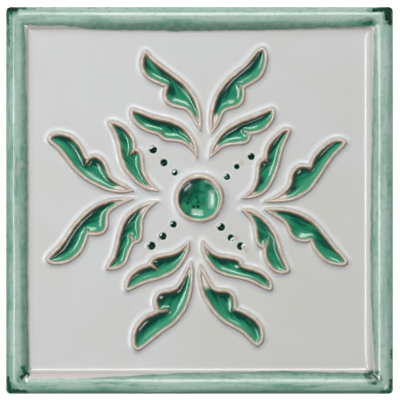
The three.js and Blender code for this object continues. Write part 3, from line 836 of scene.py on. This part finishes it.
# The wash's colours across a bar, by reach.
WASH_SPAN = (66.0, 76.0)
WASH_ACROSS = [
    (66.4, (122, 163, 145)), (67.6, (129, 169, 151)), (68.6, (137, 175, 158)), (69.6, (149, 182, 168)),
    (71.0, (162, 191, 179)), (72.0, (158, 188, 176)), (73.0, (128, 172, 155)), (74.2, (120, 163, 146))]
WASH_DEEP_AND_SHADE = (84, 122, 107)
WASH_GREY = (168, 176, 166)
WASH_GREEN = (82, 146, 120)
WASH_PALE_AND_LIT = (182, 200, 192)
WASH_DARK = (70, 108, 94)
WASH_EDGE = (98, 122, 112)
PINK_THIN = (201, 191, 187)
DISH_THIN_AND_REFLECTED = (172, 184, 172)
PINK_SHADE = (166, 159, 156)
SHADE_WHITE = (194, 196, 196)
GLINT_WHITE = (222, 240, 231)
CLAY_LINE_AND_SHADE = (146, 130, 116)
CLAY_IN_SHADE = (158, 148, 138)


class TileGlaze(Mix):
    """The tile's glaze, with the places and measures that its colours follow."""

    def __init__(self):
        super().__init__("tile_glaze")
        self.here = self.node("ShaderNodeTexCoord").outputs["Object"]
        self.spot = self.node("ShaderNodeSeparateXYZ", {0: self.here}).outputs
        self.brush = self.node("ShaderNodeUVMap", uv_map="brush").outputs["UV"]
        for name in ("ridge", "lean", "green", "pit", "paint", "reach"):
            setattr(self, name, self.read(name))
        self.cloud = self.grain(self.here, 35.0, 3.0)
        self.middle = self.grain(self.here, 260.0, 3.0)
        self.edge = self.sum("ADD", self.ridge, self.scaled(self.middle, 0.5, -0.25))
        self.pool = self.ramp(self.edge, 1.25, 1.6)
        # The place in millimetres, and the same with uneven and ragged outlines.
        self.flat = self.vector("MULTIPLY", self.here, (1 / MM, 1 / MM, 0.0))
        jitter = self.node("ShaderNodeTexNoise", {"Vector": self.here, "Scale": 700.0, "Detail": 2.0})
        jitter = self.vector("SUBTRACT", jitter.outputs["Color"], (0.5, 0.5, 0.5))
        self.uneven = self.vector("ADD", self.flat, self.vector("MULTIPLY", jitter, (0.9, 0.9, 0.0)))
        self.ragged = self.vector("ADD", self.flat, self.vector("MULTIPLY", jitter, (1.44, 1.44, 0.0)))

    def brushed(self, along, across, detail=3.0, rough=0.6):
        """Unevenness drawn out along the brush strokes."""
        place = self.node("ShaderNodeMapping", {"Vector": self.brush, "Scale": (along, across, 1.0)}).outputs[0]
        return self.grain(place, 1.0, detail, rough)


def white_field(m):
    """The white glaze: warmer in places; lighter beside the ridges' upper sides, partly thick glaze and partly
    painted highlight; greyer beside their lower sides, which is painted shade.
    """
    warmth = m.scaled(m.sum("SUBTRACT", m.spot[0], m.spot[1]), 1.4, m.cloud)
    white = m.blend(m.ramp(warmth, 0.35, 0.7), WHITE_GLAZE, WARM_GLAZE)
    # Lighter white beside the ridges' upper sides: partly thick glaze, partly painted highlight.
    thick_and_lit_halo = m.times(m.band(m.ridge, -2.8, -1.4, -0.9, -0.3), m.ramp(m.lean, -0.25, 0.35))
    white = m.blend(thick_and_lit_halo, white, WHITE_THICK_AND_HIGHLIGHT)
    # Greyer white beside the ridges' lower sides: painted shade.
    shaded = m.times(m.band(m.ridge, -2.6, -0.9, -0.5, 0.0), m.ramp(m.lean, -0.1, -0.8))
    return m.blend(shaded, white, SHADE_WHITE)


def bare_ridges(m, colour):
    """The ridges, where the glaze runs thin and the clay shows, with painted shade on their lower sides, clay
    lines partly darkened as painted shade, and a painted highlight along their crests.
    """
    mottle = m.ramp(m.grain(m.here, 420.0, 3.0, 0.6), 0.35, 0.65)
    colour = m.blend(m.ramp(m.edge, -0.5, 0.0), colour, m.blend(mottle, CLAY_PINK, CREAM_CLAY_AND_HIGHLIGHT))
    # Darker clay over the ridges' lower sides: painted shade.
    below = m.times(m.ramp(m.lean, 0.15, -0.7), 0.85)
    colour = m.blend(m.times(m.band(m.edge, -0.3, 0.2, 0.45, 0.7), below), colour, CLAY_IN_SHADE)
    # Grey clay lines along the ridges' edges, partly painted shade: the outer one strongest on lower sides, the
    # inner one on upper sides.
    outer_line_and_shade = m.times(m.band(m.edge, -0.4, -0.15, 0.05, 0.3), m.ramp(m.lean, 0.2, -0.7, 0.2, 1.0))
    inner_line_and_shade = m.times(m.band(m.edge, 0.75, 1.05, 1.35, 1.7), m.ramp(m.lean, -0.5, 0.5, 0.55, 1.0))
    lines = m.times(m.sum("MAXIMUM", outer_line_and_shade, inner_line_and_shade), m.ramp(m.middle, 0.3, 0.6, 0.45, 0.95))
    colour = m.blend(lines, colour, CLAY_LINE_AND_SHADE)
    # A lighter cream line along each ridge's crest: painted highlight.
    crest = m.times(m.band(m.edge, 0.2, 0.4, 0.55, 0.8), m.ramp(m.lean, -0.3, 0.3))
    low_crest_highlight = m.times(m.band(m.edge, 0.5, 0.7, 0.9, 1.15), m.ramp(m.lean, 0.2, -0.4))
    crest = m.times(m.sum("MAXIMUM", crest, low_crest_highlight), m.ramp(mottle, 0.0, 1.0, 0.15, 0.75))
    return m.blend(crest, colour, CREAM_CLAY_AND_HIGHLIGHT)


def green_pools(m, colour):
    """The pools: cream at the leaves' bases, green beyond, with painted shade under their upper edges and
    painted light along their lower ones.
    """
    streaks = m.brushed(60.0, 520.0)
    tint = m.blend(m.ramp(streaks, 0.4, 0.6), GREEN_DEEP, GREEN_MID)
    # Lighter green along each pool's lower side: painted light.
    lower = m.scaled(streaks, 0.8, m.sum("ADD", m.lean, -0.4))
    tint = m.blend(m.ramp(lower, 0.1, -0.6, 0.0, 0.8), tint, GREEN_LIT)
    # Darker green along each pool's upper side: painted shade.
    upper = m.scaled(streaks, -1.3, m.sum("ADD", m.lean, 0.65))
    tint = m.blend(m.ramp(upper, 0.0, 0.5), tint, GREEN_IN_SHADE)
    started = m.ramp(m.scaled(streaks, 1.3, m.sum("ADD", m.green, -0.65)), 0.25, 0.72)
    colour = m.blend(m.pool, colour, m.blend(started, CREAM, tint))
    # A brown clay line at each pool's edge, stronger under the upper sides as painted shade.
    pool_edge_brown_and_shade = m.times(m.band(m.edge, 1.0, 1.2, 1.4, 1.7), m.ramp(m.lean, -0.4, 0.5, 0.3, 0.9))
    pool_edge_brown_and_shade = m.times(pool_edge_brown_and_shade, m.ramp(m.grain(m.here, 230.0), 0.3, 0.6, 0.3, 1.0))
    colour = m.blend(m.times(pool_edge_brown_and_shade, m.ramp(m.green, 0.0, 0.6, 0.25, 1.0)), colour, CLAY_BROWN)
    creased = m.times(m.read("crease"), m.ramp(m.grain(m.here, 500.0), 0.35, 0.6, 0.3, 0.9))
    return m.blend(m.times(creased, m.ramp(m.edge, 0.4, 0.8)), colour, CLAY_BROWN)


def dark_pits(m, colour):
    """The pits, nearly black, with a ring of lighter white round each."""
    ring = m.times(m.band(m.pit, -0.95, -0.5, -0.3, -0.05), 0.45)
    colour = m.blend(ring, colour, WHITE_THICK_AND_HIGHLIGHT)
    colour = m.blend(m.ramp(m.pit, -0.12, 0.1), colour, GREEN_DEEP)
    return m.blend(m.ramp(m.pit, 0.1, 0.6), colour, GREEN_BLACK)


def frame_foot(m, colour):
    """The thin glaze at the frame's foot, pink from the clay, and shaded under the left and top bars."""
    foot = m.times(m.ramp(m.paint, 0.15, -0.1), m.ramp(m.reach, 65.5, 67.2))
    foot = m.times(foot, m.ramp(m.cloud, 0.38, 0.6, 0.5, 0.95))
    colour = m.blend(foot, colour, PINK_THIN)
    under = m.times(m.band(m.paint, -1.0, -0.15, 0.0, 0.15), m.times(m.read("shade"), 0.7))
    return m.blend(under, colour, PINK_SHADE)


def green_wash(m):
    """The wash on the frame, brushed in lengthwise strokes."""
    strokes = m.scaled(m.brushed(22.0, 700.0), 8.0, -4.0)
    across = m.ramp_line(m.sum("ADD", m.reach, strokes), *WASH_SPAN)
    made = m.node("ShaderNodeValToRGB", {0: across})
    fill_ramp(made.color_ramp, WASH_ACROSS, *WASH_SPAN)
    patches = m.brushed(45.0, 260.0, 4.0)
    wash = m.blend(m.ramp(patches, 0.5, 0.38, 0.0, 0.85), made.outputs[0], WASH_GREEN)
    wash = m.blend(m.ramp(patches, 0.54, 0.66, 0.0, 0.5), wash, WASH_PALE_AND_LIT)
    hairs = m.brushed(60.0, 2200.0)
    wash = m.blend(m.ramp(hairs, 0.45, 0.7, 0.0, 0.5), wash, WASH_GREY)
    wash = m.blend(m.times(m.band(m.paint, -0.1, 0.1, 0.6, 1.5), 0.35), wash, WASH_DEEP_AND_SHADE)
    # Darker wash over the inner slopes of the left and top bars: painted shade.
    wash = m.blend(m.read("shade"), wash, WASH_DEEP_AND_SHADE)
    # Paler wash where it is thin, and on the top bar's rim mostly painted light.
    wash = m.blend(m.sum("MAXIMUM", m.read("thin_wash"), m.read("pale_and_lit_rim")), wash, WASH_PALE_AND_LIT)
    blots = m.ramp(m.grain(m.here, 480.0, 4.0, 0.65), 0.36, 0.66)
    wash = m.blend(m.times(blots, 0.18), wash, WASH_PALE_AND_LIT)
    return m.blend(m.ramp(m.grain(m.here, 420.0, 4.0, 0.65), 0.5, 0.3, 0.0, 0.3), wash, WASH_GREEN)


def worn_wash(m, wash):
    """The wash with its dark outer edge, the rubbed place and specks of clay."""
    rim = m.scaled(m.brushed(22.0, 700.0, 2.0, 0.5), 1.2, m.sum("ADD", m.reach, -0.6))
    # The dark outer edge: wear, and painted shade where it is darkest, on the bottom bar.
    wash = m.blend(m.times(m.ramp(rim, 73.0, 74.4), m.read("wear_and_shade")), wash, WASH_DARK)
    rubbed = m.times(m.strokes(m.ragged, WORN_MARKS), m.ramp(m.middle, 0.35, 0.6, 0.3, 0.9))
    wash = m.blend(rubbed, wash, WASH_GREY)
    specks = m.times(m.ramp(m.grain(m.here, 700.0, 2.0), 0.6, 0.66), m.ramp(m.reach, 74.1, 74.5))
    wash = m.blend(m.times(specks, 0.75), wash, CLAY_BROWN)
    return m.blend(m.ramp(m.reach, 74.5, 74.95, 0.0, 0.6), wash, WASH_EDGE)


def small_marks(m, colour):
    """Bare clay, dark stains, the dish's pale arcs and pinholes, and the painted highlights: white spots and
    the beads' glints.
    """
    clay = m.times(m.strokes(m.ragged, CLAY_MARKS), m.ramp(m.grain(m.here, 900.0, 2.0), 0.3, 0.6, 0.6, 1.0))
    colour = m.blend(clay, colour, CLAY_PINK)
    dark = m.strokes(m.ragged, DARK_MARKS, 2.3)
    stain = m.scaled(m.grain(m.here, 500.0, 3.0, 0.65), 0.5, m.sum("ADD", dark, -0.25))
    stain = m.times(stain, m.ramp(dark, 0.0, 0.25))
    colour = m.blend(m.ramp(stain, 0.05, 0.6), colour, GREEN_STAIN)
    colour = m.blend(m.ramp(stain, 0.45, 1.05, 0.0, 0.9), colour, GREEN_BLACK)
    # Pale arcs in the dish: thin green, partly painted reflection of the ring.
    colour = m.blend(m.strokes(m.flat, THIN_AND_REFLECTED_ARCS), colour, DISH_THIN_AND_REFLECTED)
    colour = m.blend(m.strokes(m.flat, PINHOLES), colour, GREEN_BLACK)
    # White spots, most of them painted highlights.
    colour = m.blend(m.strokes(m.uneven, WHITE_HIGHLIGHT_SPOTS), colour, WHITE_THICK_AND_HIGHLIGHT)
    # The beads' near-white colour: a painted glint.
    return m.blend(m.ramp(m.strokes(m.flat, BEADS_WITH_GLINTS), 0.1, 0.7), colour, GLINT_WHITE)


def bare_share(m):
    """Where the sides are bare, below a wavering line of glaze."""
    line = m.scaled(m.grain(m.here, 90.0, 2.0), 0.006, 0.0045)
    bare = m.ramp(m.sum("SUBTRACT", m.spot[2], line), -0.0002, 0.0003, 1.0, 0.0)
    return m.times(bare, m.read("side"))


def clay_body(m):
    """The bare clay, speckled."""
    body = m.blend(m.ramp(m.grain(m.here, 400.0, 4.0), 0.35, 0.7), CLAY_BODY, CLAY_PINK)
    return m.blend(m.ramp(m.grain(m.here, 1500.0, 2.0), 0.62, 0.75), body, CLAY_BROWN)


def glaze():
    """The fired glazes: white on the field, green in the leaves and on the frame, thin over the ridges."""
    m = TileGlaze()
    colour = green_pools(m, bare_ridges(m, white_field(m)))
    colour = frame_foot(m, dark_pits(m, colour))
    colour = m.blend(m.ramp(m.paint, -0.2, 0.2), colour, worn_wash(m, green_wash(m)))
    colour = small_marks(m, colour)
    bare = bare_share(m)
    colour = m.blend(bare, colour, clay_body(m))

    # The pools and pits are the glossiest, and the bare clay is dull.
    rough = m.scaled(m.pool, -0.07, 0.2)
    rough = m.scaled(m.ramp(m.pit, 0.0, 0.3), -0.05, rough)
    rough = m.scaled(bare, 0.5, rough)
    swell = m.scaled(m.grain(m.here, 1800.0, 3.0), bare, m.times(m.middle, 0.15))
    bump = m.node("ShaderNodeBump", {"Strength": 0.25, "Distance": 0.0002, "Height": swell}).outputs[0]
    shader = m.node("ShaderNodeBsdfPrincipled", {"Base Color": colour, "Roughness": rough, "IOR": 1.5,
                                                 "Normal": bump})
    m.node("ShaderNodeOutputMaterial", {0: shader.outputs[0]})
    return m.material


# The floor, the lights and the camera are in metres.
FLOOR_SIZE = 2.5
FLOOR_DROP = 0.0001


def pale_floor():
    """The plain pale floor that the tile lies on."""
    bm = bmesh.new()
    bmesh.ops.create_grid(bm, x_segments=4, y_segments=4, size=FLOOR_SIZE)
    bmesh.ops.translate(bm, vec=(0, 0, -FLOOR_DROP), verts=bm.verts)
    floor = placed(bm, "floor")
    m = Mix("floor_white")
    shader = m.node("ShaderNodeBsdfPrincipled", {"Base Color": (0.92, 0.92, 0.92, 1.0), "Roughness": 0.9,
                                                 "Emission Color": (1.0, 1.0, 1.0, 1.0),
                                                 "Emission Strength": 0.7})
    m.node("ShaderNodeOutputMaterial", {0: shader.outputs[0]})
    floor.data.materials.append(m.material)


# The softboxes: name, tilt off the vertical, compass turn, distance, width, height and power. The two main ones
# have a bright core each.
SOFTBOXES = [
    ("left_light", 29, 180, 0.60, 0.43, 0.147, 0.88), ("left_core", 30, 180, 0.59, 0.26, 0.032, 0.48),
    ("top_light", 31, 84, 0.90, 0.41, 0.23, 2.3), ("top_core", 33.5, 84, 0.89, 0.26, 0.045, 0.37),
    ("low_strip", 36.5, -47, 0.80, 0.26, 0.06, 0.6)]
ROOM_LIGHT = ("room_light", 40, 112, 0.90, 0.60, 0.60, 0.85)
# How bright the room is: its walls, and the ceiling behind the camera.
ROOM = 0.27
OVERHEAD = 0.05
# The camera, and half the width that it sees at the height of the frame's crown.
CAMERA_PLACE = (0.00019, 0.000155, 1.6)
HALF_SENSOR = 18.0
HALF_VIEW, VIEW_DISTANCE = 0.07740356, 1.588


def softbox(name, tilt, turn, distance, wide, high, power, mirrored=True):
    """A soft light, tilted off the vertical towards a compass turn and aimed at the tile. One that isn't
    mirrored is too wide and dim to show in the glaze."""
    a, b = math.radians(tilt), math.radians(turn)
    place = Vector((math.sin(a) * math.cos(b), math.sin(a) * math.sin(b), math.cos(a))) * distance
    data = bpy.data.lights.new(name, "AREA")
    data.shape = "RECTANGLE"
    data.size, data.size_y = wide, high
    data.energy = power
    lamp = bpy.data.objects.new(name, data)
    lamp.location = place
    lamp.visible_glossy = mirrored
    lamp.rotation_mode = "QUATERNION"
    lamp.rotation_quaternion = place.to_track_quat("Z", "Y")
    bpy.context.scene.collection.objects.link(lamp)


def grey_room():
    """The room that the glaze mirrors, darker overhead."""
    world = bpy.data.worlds.new("room")
    world.use_nodes = True
    tree = world.node_tree
    way = tree.nodes.new("ShaderNodeTexCoord").outputs["Generated"]
    split = tree.nodes.new("ShaderNodeSeparateXYZ")
    walls = tree.nodes.new("ShaderNodeMapRange")
    tree.links.new(way, split.inputs[0])
    tree.links.new(split.outputs["Z"], walls.inputs["Value"])
    for name, value in (("From Min", 0.8), ("From Max", 0.96), ("To Min", ROOM), ("To Max", OVERHEAD)):
        walls.inputs[name].default_value = value
    tree.nodes["Background"].inputs["Color"].default_value = (1.0, 1.0, 1.0, 1.0)
    tree.links.new(walls.outputs[0], tree.nodes["Background"].inputs["Strength"])
    bpy.context.scene.world = world


def studio():
    """The lights, the grey room, and a camera straight above the tile."""
    for box in SOFTBOXES:
        softbox(*box)
    softbox(*ROOM_LIGHT, mirrored=False)
    grey_room()
    scene = bpy.context.scene
    scene.view_settings.view_transform = "Standard"
    lens = bpy.data.cameras.new("camera")
    lens.lens = HALF_SENSOR * VIEW_DISTANCE / HALF_VIEW
    lens.clip_start, lens.clip_end = 0.1, 10.0
    camera = bpy.data.objects.new("camera", lens)
    camera.location = CAMERA_PLACE
    scene.collection.objects.link(camera)
    scene.camera = camera


tile = glazed_tile(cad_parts["tile"])
tile.data.materials.append(glaze())
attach(tile, "root")
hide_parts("tile")
pale_floor()
studio()
